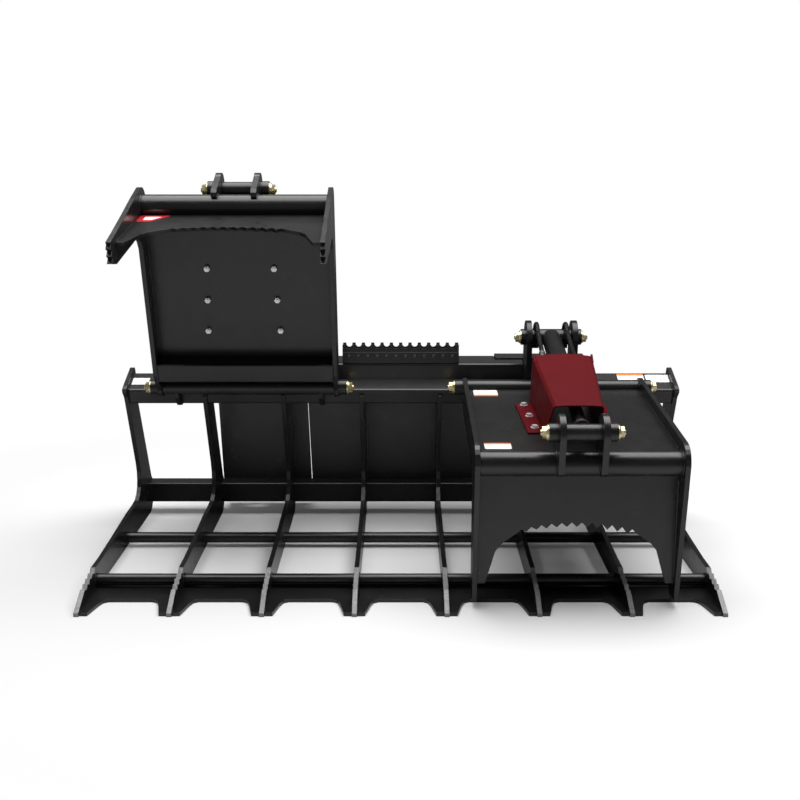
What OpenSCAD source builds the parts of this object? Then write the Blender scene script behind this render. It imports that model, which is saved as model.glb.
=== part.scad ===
// Skeleton grapple with two hydraulic lids, built from named plates, tubes, pins and cylinders.

/* [Frame] */
// Overall width across the outer tines, mm
overall_width = 1676.4; // [1520:0.1:1840]
// Tine plate thickness, mm
tine_t = 12.7; // [9.5:0.1:16]
// Depth of the teeth on the tine tops, mm
saw_h = 11.5; // [5:0.5:14]
// Run of the front face of a tooth on the tine tops, mm
saw_run = 12; // [6:0.5:18]
// Top tube depth, front to back, mm
tube_d = 101.6; // [90:0.1:115]
// Top tube height, mm
tube_h = 50.8; // [45:0.1:60]
// Top tube lean, front edge low, degrees
tube_lean = 21.5; // [15:0.5:26]
// Wall of the frame tubes, mm
tube_wall = 6.35; // [4:0.05:8]
// Lower tube side, mm
low_s = 63.5; // [55:0.1:70]
// Crossbar outer diameter, mm
bar_d = 31.8; // [26:0.1:38]
// Cutting lip thickness, mm
lip_t = 9.5; // [6:0.1:12]
// Cutting lip tooth half width beside a tine, mm
lip_tooth = 27; // [20:0.5:34]
// Flat length of a scallop between two lip teeth, mm
lip_flat = 132; // [100:1:150]

/* [Quick attach] */
// Overall width of the quick attach plates, mm
qa_w = 1172; // [1120:1:1180]
// Quick attach plate thickness, mm
qa_t = 8; // [6:0.5:10]
// Gap between two quick attach plates, mm
qa_gap = 2; // [1.5:0.5:6]
// Lean of the plates' side edges, outwards from foot to top, mm
qa_lean = 16; // [0:1:24]
// Depth of the hooked top flange, mm
qa_hook = 75; // [60:1:90]
// Lock pin slot width, mm
qa_slot_w = 28; // [25:0.5:32]
// Lock pin slot length, mm
qa_slot_l = 46; // [40:1:56]

/* [Step] */
// Step width, mm
step_w = 356; // [330:1:390]
// Step tread depth, mm
step_d = 52; // [40:1:70]
// Pitch of the round notches in the step, mm
notch_pitch = 28.8; // [27:0.1:30]
// Round notch diameter, mm
notch_d = 19; // [14:0.5:22]

/* [Lid] */
// Lid width over its side plates, mm
lid_w = 538; // [510:1:545]
// Middle of a lid from the grapple's centre line, mm
lid_x = 454.3; // [445:0.1:458]
// Lid side plate thickness, mm
side_t = 12.7; // [9.5:0.1:14]
// Lid top plate thickness, mm
lid_t = 6.35; // [5:0.05:8]
// Lid front plate thickness, mm
front_t = 9.5; // [6:0.1:12]
// Lid front pipe outer diameter, mm
pipe_d = 66; // [58:0.5:70]
// Side of the square beam near the lid hinge, mm
beam_s = 57; // [45:0.5:60]
// Pitch of the teeth in the lid's front arch, mm
arch_pitch = 26; // [22:0.5:28]
// Depth of the teeth in the lid's front arch, mm
arch_tooth = 12; // [6:0.5:16]
// Opening angle of a lid, degrees
open_deg = 80; // [70:1:82]

/* [Pins] */
// Pin diameter at the lid hinge and both cylinder ends, mm
pin_d = 25.4; // [22:0.1:28]
// Radial running clearance of a pin, mm
pin_clear = 0.05; // [0.02:0.01:0.1]
// Hinge tube outer diameter, mm
hinge_d = 44.4; // [40:0.1:48]
// Side gap between pieces that turn on each other, mm
side_gap = 0.8; // [0.4:0.1:1.5]
// Length of the boss outside a lid side plate, mm
hinge_boss = 24; // [18:0.5:28]
// Ear plate thickness at both cylinder ends, mm
ear_t = 16; // [12:0.5:18]
// Boss diameter at the cylinder ears, mm
ear_boss_d = 48; // [42:0.5:52]

/* [Cylinder] */
// Cylinder bore, mm
bore_d = 50.8; // [44:0.1:52]
// Barrel outer diameter, mm
barrel_d = 57; // [55:0.1:58]
// Rod diameter, mm
rod_d = 35; // [30:0.1:38]
// Length of the cross tube at the cylinder base, mm
base_w = 119.2; // [110:0.1:124]
// Length of the rod eye tube, mm
eye_w = 90.4; // [84:0.1:100]
// Hose outer diameter, mm
hose_d = 14; // [11:0.5:16]
// Shroud plate thickness, mm
shroud_t = 4.8; // [3:0.1:5]

/* [Hidden] */
$fn = 48;
e = 0.01;
black = [0.09, 0.09, 0.10];
steel = [0.75, 0.75, 0.76];
zinc = [0.80, 0.68, 0.35];
red = [0.42, 0.08, 0.09];
rubber = [0.05, 0.05, 0.05];
// The reference point is on the underside of the cutting lip, on the centre line.
ref_y = 155;
half = overall_width / 2;
inn = half - tine_t;
pitch = (overall_width - tine_t) / 7;
// Front top edge of the top tube, from the tine tips and the ground.
tube_y = 643;
tube_z = 459;
low_y = 855;
low_z = 41;
bar_lift = 3;
bar_z = lip_t + bar_lift + bar_d / 2;
bar_front_y = 190;
bar_rear_y = 537;
lip_back = 236;
lip_base = 96;
lip_solid = 130;
qa_y = low_y + low_s;
qa_low = 66;
qa_top = 510;
qa_half = 293;
// Bent plate on the top tube that carries the step.
wall_t = 6.35;
wall_y = tube_y + 58;
wall_top = tube_z + 72;
wall_deep = 63;
step_t = 4;
step_wall_h = 34;
step_crest_h = 57;
step_floor_h = 16;
hole_h = 24;
hy = tube_y - 28;
hz = tube_z + 15.3;
// Lid points from the hinge, lid shut: rod pin, base pin, front pipe.
pin_p = [-593.4, 6.5];
pin_r = [66, 142];
pipe_g = [-565.5, -81];
pipe_r = pipe_d / 2;
plate_y = -25;
plate_z = -2;
plate_a = 5.66;
front_y = pipe_g.x + 16.5;
foot_z = -409.5;
ear_x = base_w / 2 + side_gap + ear_t / 2;
clevis_x = eye_w / 2 + side_gap + ear_t / 2;
ear_r = 50;
eye_r = 47;
lug_x = 216;
pin_r_mm = pin_d / 2;
hinge_r = hinge_d / 2;
lobe_r = 28;
pin_seat = 0.05;
function turned(p, q) = [p.x * cos(q) + p.y * sin(q), -p.x * sin(q) + p.y * cos(q)];
function link(q) = turned(pin_p, q) - pin_r;
function link_len(q) = norm(link(q));
function link_ang(q) = atan2(-link(q).y, -link(q).x);
len_shut = link_len(0);
len_open = link_len(open_deg);
stroke = len_shut - len_open;
barrel_l = len_open - 78;
gland_l = 24;
piston_l = 30;
piston_gap = 14;
base_solid = 50;

// Plate in the YZ plane from x, t thick.
module yz(x, t) {
    translate([x, 0, 0]) rotate([90, 0, 90]) linear_extrude(t) children();
}

module placed() {
    translate([0, -ref_y, 0]) children();
}

// Round bar along X from x, at y and z.
module bar(x, l, r, y, z) {
    translate([x, y, z]) rotate([0, 90, 0]) cylinder(h = l, r = r);
}

module rounded(w, h, r) {
    translate([r, 0]) square([w - 2 * r, h]);
    translate([0, r]) square([w, h - 2 * r]);
    for (a = [r, w - r], b = [r, h - r]) translate([a, b]) circle(r);
}

// Tine outline behind the tip: y back from the tip, z above the ground.
saw_a = [177, 65.5];
saw_b = [72, 45.5];
function saw(i) = saw_a + (saw_b - saw_a) * i / 4;
tine_top = [[-2, 0], [-2, 9.5], [0, 10.4],
    for (i = [4:-1:1]) each [saw(i), saw(i - 1) - [saw_run, saw_h]],
    saw_a, [259, 66], [377, 72], [low_y - 263, 86], [low_y - 182, 88], [low_y - 147, 91],
    [low_y - 121, 103], [low_y - 105, 122], [low_y - 98, 146], [low_y - 98, 172], [low_y - 108, 205]];
tube_in = [tube_y, tube_z];
tube_r = tube_in + [tube_d * cos(tube_lean), tube_d * sin(tube_lean)];
tube_b = tube_r + [tube_h * sin(tube_lean), -tube_h * cos(tube_lean)];
tube_f = tube_in + [tube_h * sin(tube_lean), -tube_h * cos(tube_lean)];
back_a = tube_b + [12, 3];
back_b = tube_b + [15.5, -57];
back_c = [low_y + 50, low_z + low_s + 13.5];
tine_low = [back_b, back_c, [qa_y, low_z + low_s - 0.5], [qa_y, low_z - 7], [low_y + 41, 8],
    [low_y + 17, 0]];

module tube_box() {
    translate(tube_in) rotate(tube_lean) translate([0, -tube_h]) square([tube_d, tube_h]);
}

module tine_outer_2d() {
    polygon(concat(tine_top, [tube_in + [0, -22], tube_in + [-20, -3], tube_in + [-21, 3],
        tube_in + [-18, 8], tube_in + [-3, 15], tube_r + [0, 14], tube_r + [8, 14],
        tube_r + [14.5, 8], back_a], tine_low));
}

module tine_inner_2d() {
    difference() {
        polygon(concat(tine_top, [tube_in + [-1.2, -21], tube_in + [2, -18], tube_in + [57, 11],
            tube_b, back_a], tine_low));
        tube_box();
        translate([low_y, low_z]) square([low_s + 20, low_s]);
        translate([lip_solid, -1]) square([lip_back - lip_solid + 0.3, lip_t + 1]);
    }
}

module tine(i) {
    color(black) placed() difference() {
        x = -half + i * pitch;
        if (i == 0 || i == 7) yz(x, tine_t) tine_outer_2d();
        if (i > 0 && i < 7) yz(x, tine_t) tine_inner_2d();
        if (i > 0 && i < 7) bar(x - 1, tine_t + 2, bar_d / 2, bar_front_y, bar_z);
        if (i > 0 && i < 7) bar(x - 1, tine_t + 2, bar_d / 2, bar_rear_y, bar_z);
    }
}

module top_tube() {
    color(black) placed() yz(-inn, 2 * inn) translate(tube_in) rotate(tube_lean)
        translate([0, -tube_h]) difference() {
            rounded(tube_d, tube_h, 8);
            translate([tube_wall, tube_wall])
                rounded(tube_d - 2 * tube_wall, tube_h - 2 * tube_wall, 3);
        }
}

module lower_tube() {
    color(black) placed() yz(-inn, 2 * inn) translate([low_y, low_z]) difference() {
        rounded(low_s, low_s, 5);
        translate([tube_wall, tube_wall]) rounded(low_s - 2 * tube_wall, low_s - 2 * tube_wall, 2);
    }
}

module crossbar(y) {
    color(black) placed() difference() {
        bar(-inn, 2 * inn, bar_d / 2, y, bar_z);
        bar(-inn - 1, 2 * inn + 2, bar_d / 2 - 4, y, bar_z);
    }
}

// Lip front edge between tine i and the next, from the tine's own edges.
function scallop(i) = let (a = -half + i * pitch + tine_t, m = a + (pitch - tine_t) / 2,
    b = a + pitch - tine_t, w = lip_flat / 2, s = lip_tooth - tine_t / 2)
    [[a + s, 3], [m - w - 12, lip_base - 28], [m - w - 5, lip_base - 8], [m - w + 8, lip_base],
        [m + w - 8, lip_base], [m + w + 5, lip_base - 8], [m + w + 12, lip_base - 28], [b - s, 3]];

module cutting_lip() {
    color(black) placed() difference() {
        linear_extrude(lip_t) polygon(concat([[-inn, lip_back], [-inn, 3]],
            [for (i = [0:6]) each scallop(i)], [[inn, 3], [inn, lip_back]]));
        for (i = [1:6]) translate([-half + i * pitch, -1, -1]) cube([tine_t, lip_solid + 1, lip_t + 2]);
    }
}

// Quick attach plate from a to b at its foot: upright with leaning edges, hooked top, slotted foot.
module attach_plate(a, b, top, foot) {
    x = a;
    w = b - a;
    at = a + sign(a) * qa_lean;
    bt = b + sign(b) * qa_lean;
    color(black) placed() difference() {
        union() {
            translate([0, qa_y + qa_t, 0]) rotate([90, 0, 0]) linear_extrude(qa_t)
                polygon([[a, qa_low], [b, qa_low], [bt, top], [at, top]]);
            yz(at, bt - at) translate([qa_y, top]) polygon([[0, -qa_t], [qa_hook, -qa_t], [qa_hook + 14, -34],
                [qa_hook + 21, -31], [qa_hook + 6, 0], [0, 0]]);
            if (foot) yz(x, w) translate([qa_y, qa_low])
                polygon([[0, 0], [qa_t, 0.5], [62, -30], [58, -37], [qa_t - 4, -9], [0, -5]]);
        }
        if (foot) translate([x + w / 2 + sign(x + w / 2) * 40, qa_y + 36, qa_low - 60])
            hull() for (s = [-1, 1])
                translate([s * (qa_slot_l - qa_slot_w) / 2, 0, 0]) cylinder(h = 80, r = qa_slot_w / 2);
    }
}

module rear_gussets() {
    n = [cos(tube_lean), sin(tube_lean)];
    down = [sin(tube_lean), -cos(tube_lean)];
    color(black) placed() for (i = [2:5]) yz(-half + i * pitch, tine_t)
        polygon([tube_b + 0.3 * n, tube_r + 0.3 * n + 4 * down, [qa_y, qa_top - 13],
            [qa_y, low_z + low_s + 0.3], back_c + [0.6, 0.3], back_b + [0.6, 0.3], back_a + [0.3, 0.3]]);
}

// Upright strip of the step: flanges with a row of holes, and crests with round notches.
module step_strip(y, z, h, notches) {
    color(black) difference() {
        translate([-step_w / 2, y, z]) cube([step_w, step_t, h]);
        for (i = [0:11]) translate([(i - 5.5) * notch_pitch, y - 1, wall_top + hole_h])
            rotate([-90, 0, 0]) cylinder(h = step_t + 2, r = 4.5);
        for (i = [0:11]) if (notches) translate([(i - 5.5) * notch_pitch, y - 1, z + h - 3])
            rotate([-90, 0, 0]) cylinder(h = step_t + 2, r = notch_d / 2);
    }
}

module step_tread() {
    h = step_crest_h - step_floor_h;
    color(black) placed() {
        for (y = [wall_y, wall_y + step_d - step_t]) step_strip(y, wall_top, step_wall_h, false);
        for (y = [wall_y + step_t - e, wall_y + step_d - 2 * step_t + e])
            step_strip(y, wall_top + step_floor_h, h, true);
        translate([-step_w / 2, wall_y + e, wall_top + step_floor_h])
            cube([step_w, step_d - 2 * e, step_t]);
    }
}

// Bent plate: upright from the top tube, then a flange back under the step.
module step_riser() {
    w = 2 * (lid_x - ear_x - ear_t / 2 - 1.9);
    foot = tube_z + (wall_y - tube_y) * tan(tube_lean);
    color(black) placed() yz(-w / 2, w) polygon([[wall_y, foot], [wall_y, wall_top - 8],
        [wall_y + 1, wall_top - 4], [wall_y + 4, wall_top - 1], [wall_y + 8, wall_top],
        [wall_y + wall_deep, wall_top], [wall_y + wall_deep, wall_top - wall_t],
        [wall_y + 9.5, wall_top - wall_t], [wall_y + wall_t + 0.8, wall_top - wall_t - 1.2],
        [wall_y + wall_t, wall_top - 9], [wall_y + wall_t, foot + wall_t * tan(tube_lean)]]);
}

module hinge_tube(s) {
    l = lid_w - 2 * side_t - 2 * side_gap;
    color(black) placed() difference() {
        bar(s * lid_x - l / 2, l, hinge_r, hy, hz);
        bar(s * lid_x - l / 2 - 1, l + 2, pin_r_mm + pin_clear, hy, hz);
    }
}

module hinge_lugs() {
    f = tube_f;
    color(black) placed() for (s = [-1, 1], k = [-1, 1])
        yz(s * lid_x + k * lug_x - tine_t / 2, tine_t) difference() {
            polygon([[hy + 14, hz + 17], [hy - 17, hz - 14], [hy - 12, hz - 32], tube_in + [-3, -45],
                f + [4, -1], f + [6, 8], tube_in + [16, 6.3]]);
            translate([hy, hz]) circle(hinge_r);
            translate(tube_in) rotate(tube_lean) translate([0, -tube_h]) rounded(tube_d, tube_h, 8);
        }
}

module bracket(s) {
    ry = hy + pin_r.x;
    rz = hz + pin_r.y;
    color(black) placed() difference() {
        union() {
            for (k = [-1, 1]) yz(s * lid_x + k * ear_x - ear_t / 2, ear_t) {
                translate([ry, rz]) circle(ear_r);
                difference() {
                    polygon([[ry - ear_r, rz], [ry + ear_r, rz], tube_in + [102, 41], tube_in + [57, 19],
                        tube_in + [8, 2]]);
                    tube_box();
                }
            }
            translate([s * lid_x - ear_x - ear_t / 2, tube_y, tube_z]) rotate([tube_lean, 0, 0])
                translate([0, 9, 0]) cube([2 * ear_x + ear_t, tube_d - 18, 8]);
            for (k = [-1, 1]) bar(s * lid_x + k * (ear_x + ear_t / 2 + 6.5) - 7.5, 15,
                ear_boss_d / 2, ry, rz);
        }
        bar(s * lid_x - 120, 240, pin_r_mm + pin_clear, ry, rz);
    }
}

// Expanding pin end: washer, nut and threaded end, growing along +X from its seat at x = 0.
module pin_end() {
    rotate([0, 90, 0]) {
        translate([0, 0, pin_seat]) cylinder(h = 3 - pin_seat, r = 20);
        translate([0, 0, 3 - e]) cylinder(h = 4, r1 = 19, r2 = 17);
        translate([0, 0, 7 - 2 * e]) cylinder(h = 9, r = 15.5, $fn = 6);
        translate([0, 0, 16 - 3 * e]) cylinder(h = 4, r1 = 8.5, r2 = 7);
    }
}

module stub_pin(x0, l, dir) {
    translate([x0, 0, 0]) mirror([dir < 0 ? 1 : 0, 0, 0]) {
        translate([-l, 0, 0]) rotate([0, 90, 0]) cylinder(h = l + 2, r = pin_r_mm);
        pin_end();
    }
}

module base_pins() {
    color(zinc) placed() for (s = [-1, 1], k = [-1, 1])
        translate([s * lid_x, hy + pin_r.x, hz + pin_r.y])
            stub_pin(k * (ear_x + ear_t / 2 + 14), ear_t + 14, k);
}

module coupler_block() {
    top = qa_top - 30;
    color(black) placed() {
        translate([-55, qa_y - 38, top - 34]) cube([110, 38, 34]);
        for (x = [-30, 30]) translate([x, qa_y - 19, top - 60]) cylinder(h = 27, r = 13);
        for (x = [-30, 30]) translate([x, qa_y - 19, top - 84]) cylinder(h = 25, r = 17);
    }
}

// Places a lid: side s, turned open by q degrees about its hinge.
module lid_at(s, q) {
    placed() translate([s * lid_x, hy, hz]) rotate([-q, 0, 0]) children();
}

// Side plate outline from the hinge, lid shut, with an arc at its front top corner.
corner = [-567, -75];
corner_r = 50;
side_2d = [[0, lobe_r], for (a = [95:17:180]) corner + corner_r * [cos(a), sin(a)], [-614.5, -92],
    [-606, -157], [-585, -284], [-568, -400], [-561, -455], [-555, -449], [-544, -459], [-537, -446],
    [-526, -459], [-519, -446], [-507, -459], [-494, -412], [-499, -180], [-494, -150], [-480, -128],
    [-455, -112], [-60, -68], [-30, -52], [0, -lobe_r]];

module side_plate(s, q, k) {
    color(black) lid_at(s, q) difference() {
        union() {
            yz(k * (lid_w - side_t) / 2 - side_t / 2, side_t) {
                polygon(side_2d);
                circle(lobe_r);
            }
            bar(k * (lid_w + hinge_boss - 1) / 2 - (hinge_boss + 1) / 2, hinge_boss + 1, hinge_r, 0, 0);
        }
        bar(-lid_w, 2 * lid_w, pin_r_mm + pin_clear, 0, 0);
    }
}

inner_w = lid_w - 2 * side_t;

// Frame of the lid's top plate: top face at z = 0, y = 0 at its rear edge.
module on_plate() {
    translate([0, plate_y, plate_z]) rotate([plate_a, 0, 0]) children();
}

bolt_y = [-166, -262, -358];
bolt_x = [104.9, 100, 95.1];

module top_plate(s, q) {
    color(black) lid_at(s, q) difference() {
        on_plate() translate([-inner_w / 2, -530, -lid_t]) cube([inner_w, 530, lid_t]);
        bar(-inner_w / 2 - 1, inner_w + 2, pipe_r, pipe_g.x, pipe_g.y);
        translate([-inner_w / 2 - 1, pipe_g.x - 60, -120]) cube([inner_w + 2, 60, 100]);
        for (k = [-1, 1], i = [0:2]) on_plate() translate([k * bolt_x[i], bolt_y[i], -10])
            cylinder(h = 20, r = 5.3);
    }
}

function arch_tip(i) = foot_z + 166.3 - abs(i - 5.5) * abs(i - 5.5) * 0.62;
arch_2d = [[-inner_w / 2, foot_z], [-235, foot_z], [-209, foot_z + 89], [-195, foot_z + 107],
    [-160, foot_z + 133],
    for (i = [0:11]) each [[(i - 5.5) * arch_pitch - arch_pitch / 2, arch_tip(i) - arch_tooth],
        [(i - 5.5) * arch_pitch, arch_tip(i)]],
    [6 * arch_pitch, arch_tip(11) - arch_tooth], [160, foot_z + 133], [195, foot_z + 107],
    [209, foot_z + 89], [235, foot_z], [inner_w / 2, foot_z]];

module front_plate(s, q) {
    top = pipe_g.y - pipe_r / 2;
    color(black) lid_at(s, q) difference() {
        translate([0, front_y + front_t, 0]) rotate([90, 0, 0]) linear_extrude(front_t)
            polygon(concat(arch_2d, [[inner_w / 2, top], [-inner_w / 2, top]]));
        bar(-inner_w / 2 - 1, inner_w + 2, pipe_r, pipe_g.x, pipe_g.y);
    }
}

module front_pipe(s, q) {
    color(black) lid_at(s, q) difference() {
        bar(-inner_w / 2, inner_w, pipe_r, pipe_g.x, pipe_g.y);
        bar(-inner_w / 2 - 1, inner_w + 2, pipe_r - tube_wall, pipe_g.x, pipe_g.y);
    }
}

module beam(s, q) {
    color(black) lid_at(s, q) on_plate() yz(-inner_w / 2, inner_w)
        translate([-22 - beam_s, -lid_t - beam_s]) difference() {
            rounded(beam_s, beam_s, 5);
            translate([5, 5]) rounded(beam_s - 10, beam_s - 10, 2);
        }
}

module clevis(s, q) {
    color(black) lid_at(s, q) for (k = [-1, 1]) difference() {
        union() {
            yz(k * clevis_x - ear_t / 2, ear_t) difference() {
                union() {
                    translate(pin_p) circle(eye_r);
                    polygon([pin_p + [-eye_r, 0], [-625, -60], [-617, -96], [-609, -104], [-596, -104],
                        [-565, -80], [-505, -80], [-505, -48], pin_p + [42, -8]]);
                }
                translate(pipe_g) circle(pipe_r);
                translate([plate_y, plate_z]) rotate(plate_a) translate([-600, -100]) square([610, 100]);
            }
            yz(k * clevis_x - ear_t / 2, ear_t) difference() {
                polygon([pin_p + [-eye_r, 0], [-625, -60], [-617, -96], [-609, -104], [-596, -104],
                    [-590, -60], [-580, -30], [-566, 0]]);
                translate(pipe_g) circle(pipe_r);
            }
            bar(k * (clevis_x + ear_t / 2 + 11.5) - 12.5, 25, ear_boss_d / 2, pin_p.x, pin_p.y);
        }
        bar(-150, 300, pin_r_mm + pin_clear, pin_p.x, pin_p.y);
    }
}

// Shroud section points on the lid plate: half widths, places, height, corner and crown of an end.
function hat(bw, tw, yb, yt, h, c, crown) = [[-bw, yb, 0], [-tw, yt - (yt - yb) * c / h, h - c],
    [-tw + c, yt, h], [-tw / 2, yt, h + crown * 0.75], [0, yt, h + crown], [tw / 2, yt, h + crown * 0.75],
    [tw - c, yt, h], [tw, yt - (yt - yb) * c / h, h - c], [bw, yb, 0]];

module loft(a, b) {
    n = len(a);
    hull() polyhedron(points = concat(a, b), faces = concat([[for (i = [0:n - 1]) i]],
        [[for (i = [n - 1:-1:0]) n + i]], [for (i = [0:n - 1]) [i, n + i, n + (i + 1) % n, (i + 1) % n]]));
}

module shroud(s, q) {
    t = shroud_t;
    color(red) lid_at(s, q) on_plate() difference() {
        union() {
            difference() {
                loft(hat(84, 84, -125, -157, 148, 7, 6), hat(76, 65, -412, -487, 108, 7, 2));
                translate([0, 0, -e]) loft(hat(84 - t, 84 - t, -118, -150, 148 - t, 5, 6),
                    hat(76 - t, 65 - t, -419, -494, 108 - t, 5, 2));
            }
            for (k = [-1, 1]) yz(k * 80.6 - t / 2, t)
                polygon([[-157, 136], [-158.5, 153.5], [-166, 154], [-188, 140], [-188, 134]]);
            for (k = [0, 1]) mirror([k, 0, 0]) linear_extrude(t) polygon([[79, -148], [124, -148],
                [128, -152], [117, -397], [72.5, -397], [72.5, -330]]);
        }
        for (k = [-1, 1], i = [0:2]) translate([k * bolt_x[i], bolt_y[i], -1])
            cylinder(h = 10, r = 5.3);
    }
}

module shroud_bolts(s, q) {
    color(steel) lid_at(s, q) on_plate() for (k = [-1, 1], i = [0:2])
        translate([k * bolt_x[i], bolt_y[i], 0]) {
            translate([0, 0, -lid_t - 14]) cylinder(h = lid_t + shroud_t + 15, r = 5);
            translate([0, 0, shroud_t]) cylinder(h = 2.2, r = 11);
            translate([0, 0, shroud_t + 2]) cylinder(h = 5.5, r = 8.5, $fn = 6);
            translate([0, 0, -lid_t - 10]) cylinder(h = 10, r = 8.8, $fn = 6);
        }
}

module hinge_pins(s, q) {
    color(zinc) lid_at(s, q) for (k = [-1, 1])
        stub_pin(k * (lid_w / 2 + hinge_boss), hinge_boss + side_t + 60, k);
}

module rod_pin(s, q) {
    l = 2 * (clevis_x + ear_t / 2 + 24);
    color(zinc) lid_at(s, q) translate([0, pin_p.x, pin_p.y]) {
        rotate([0, 90, 0]) translate([0, 0, -l / 2 - 2]) cylinder(h = l + 4, r = pin_r_mm);
        translate([l / 2, 0, 0]) pin_end();
        translate([-l / 2, 0, 0]) mirror([1, 0, 0]) pin_end();
    }
}

// Cylinder frame: base pin at the origin, rod eye at y = -length.
module link_at(s, q) {
    placed() translate([s * lid_x, hy + pin_r.x, hz + pin_r.y]) rotate([link_ang(q), 0, 0]) children();
}

module along(y, l, r) {
    translate([0, y, 0]) rotate([90, 0, 0]) cylinder(h = l, r = r);
}

port_y = [-190, -(barrel_l - 46)];
port_k = [-1, 1];
hose_x = 44;
union_z = -16;

module barrel(s, q) {
    color(black) link_at(s, q) difference() {
        union() {
            bar(-base_w / 2, base_w, ear_boss_d / 2, 0, 0);
            along(-12, barrel_l - 12, barrel_d / 2);
            for (i = [0, 1]) bar(port_k[i] * 39 - 14, 28, 10, port_y[i], 0);
            for (k = [-1, 1]) translate([k * hose_x - 10, 14, union_z - 26]) cube([20, 34, 26]);
        }
        along(-base_solid, barrel_l, bore_d / 2);
        for (i = [0, 1]) bar(port_k[i] * 34 - 12, 24, 3.5, port_y[i], 0);
    }
}

module gland(s, q) {
    color(black) link_at(s, q) difference() {
        union() {
            along(-(barrel_l - gland_l), gland_l + e, bore_d / 2);
            along(-barrel_l, 12, barrel_d / 2);
            along(-barrel_l - 12, 4, rod_d / 2 + 6);
        }
        along(-(barrel_l - gland_l - 5), gland_l + 40, rod_d / 2 + pin_clear);
    }
}

module piston(s, q) {
    y = link_len(q) - len_open + base_solid + piston_gap;
    color(steel) link_at(s, q) difference() {
        along(-y, piston_l, bore_d / 2 - pin_clear);
        along(-y - 8, piston_l, rod_d / 2);
    }
}

module rod(s, q) {
    l = link_len(q);
    y = l - len_open + base_solid + piston_gap + 8;
    color(steel) link_at(s, q) difference() {
        union() {
            along(-y, l - y - 10, rod_d / 2);
            bar(-eye_w / 2, eye_w, ear_boss_d / 2 - 2, -l, 0);
            along(-(l - 34), 14, 23);
        }
        bar(-eye_w, 2 * eye_w, pin_r_mm + pin_clear, -l, 0);
    }
}

// Hose routes beside the barrel, from the port over the base tube to the union behind it.
function arc(c, r, a, b, n) = [for (i = [0:n]) c + r * [cos(a + (b - a) * i / n), sin(a + (b - a) * i / n)]];
hose_end = concat([[-46, 26]], arc([0, 2], 37, 135, 0, 6), [[37, -7], [37, union_z + 0.3]]);
function hose_path(p) = concat([[p + 10.3, 0], [p + 22, 2], [p + 36, 10]],
    p < -250 ? [[p + 90, 14], [p + 150, 14], [p + 210, 16]] : [[p + 80, 16]], hose_end);
function tangent(p, i) = let (n = len(p) - 1, d = p[min(i + 1, n)] - p[max(i - 1, 0)]) d / norm(d);

module hose(x, p) {
    m = 10;
    n = len(p);
    points = [for (i = [0:n - 1], j = [0:m - 1]) let (t = tangent(p, i), a = j * 360 / m)
        [x + hose_d / 2 * cos(a), p[i].x - t.y * hose_d / 2 * sin(a), p[i].y + t.x * hose_d / 2 * sin(a)]];
    sides = [for (i = [0:n - 2], j = [0:m - 1]) let (a = i * m + j, b = i * m + (j + 1) % m)
        each [[a, a + m, b], [b, a + m, b + m]]];
    polyhedron(points = points, faces = concat(sides, [[for (j = [0:m - 1]) j]],
        [[for (j = [m - 1:-1:0]) (n - 1) * m + j]]));
}

module hoses(s, q) {
    color(rubber) link_at(s, q) for (i = [0, 1]) hose(port_k[i] * hose_x, hose_path(port_y[i]));
}

tine(0);  // tine_1
tine(1);  // tine_2
tine(2);  // tine_3
tine(3);  // tine_4
tine(4);  // tine_5
tine(5);  // tine_6
tine(6);  // tine_7
tine(7);  // tine_8
top_tube();
lower_tube();
crossbar(bar_front_y);  // crossbar_front
crossbar(bar_rear_y);  // crossbar_rear
cutting_lip();
attach_plate(-qa_w / 2, -qa_half - qa_gap / 2, qa_top, true);  // attach_left
attach_plate(-qa_half + qa_gap / 2, qa_half - qa_gap / 2, qa_top - 8, false);  // attach_centre
attach_plate(qa_half + qa_gap / 2, qa_w / 2, qa_top, true);  // attach_right
rear_gussets();
step_tread();
step_riser();
hinge_tube(-1);  // hinge_tube_left
hinge_tube(1);  // hinge_tube_right
hinge_lugs();
bracket(-1);  // bracket_left
bracket(1);  // bracket_right
base_pins();
coupler_block();
side_plate(-1, open_deg, -1);  // left_side_outer
side_plate(-1, open_deg, 1);  // left_side_inner
top_plate(-1, open_deg);  // left_top_plate
front_plate(-1, open_deg);  // left_front_plate
front_pipe(-1, open_deg);  // left_front_pipe
beam(-1, open_deg);  // left_beam
clevis(-1, open_deg);  // left_clevis
shroud(-1, open_deg);  // left_shroud
shroud_bolts(-1, open_deg);  // left_shroud_bolts
hinge_pins(-1, open_deg);  // left_hinge_pins
rod_pin(-1, open_deg);  // left_rod_pin
barrel(-1, open_deg);  // left_barrel
gland(-1, open_deg);  // left_gland
piston(-1, open_deg);  // left_piston
rod(-1, open_deg);  // left_rod
hoses(-1, open_deg);  // left_hoses
side_plate(1, 0, 1);  // right_side_outer
side_plate(1, 0, -1);  // right_side_inner
top_plate(1, 0);  // right_top_plate
front_plate(1, 0);  // right_front_plate
front_pipe(1, 0);  // right_front_pipe
beam(1, 0);  // right_beam
clevis(1, 0);  // right_clevis
shroud(1, 0);  // right_shroud
shroud_bolts(1, 0);  // right_shroud_bolts
hinge_pins(1, 0);  // right_hinge_pins
rod_pin(1, 0);  // right_rod_pin
barrel(1, 0);  // right_barrel
gland(1, 0);  // right_gland
piston(1, 0);  // right_piston
rod(1, 0);  // right_rod
hoses(1, 0);  // right_hoses
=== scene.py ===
import math

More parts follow.
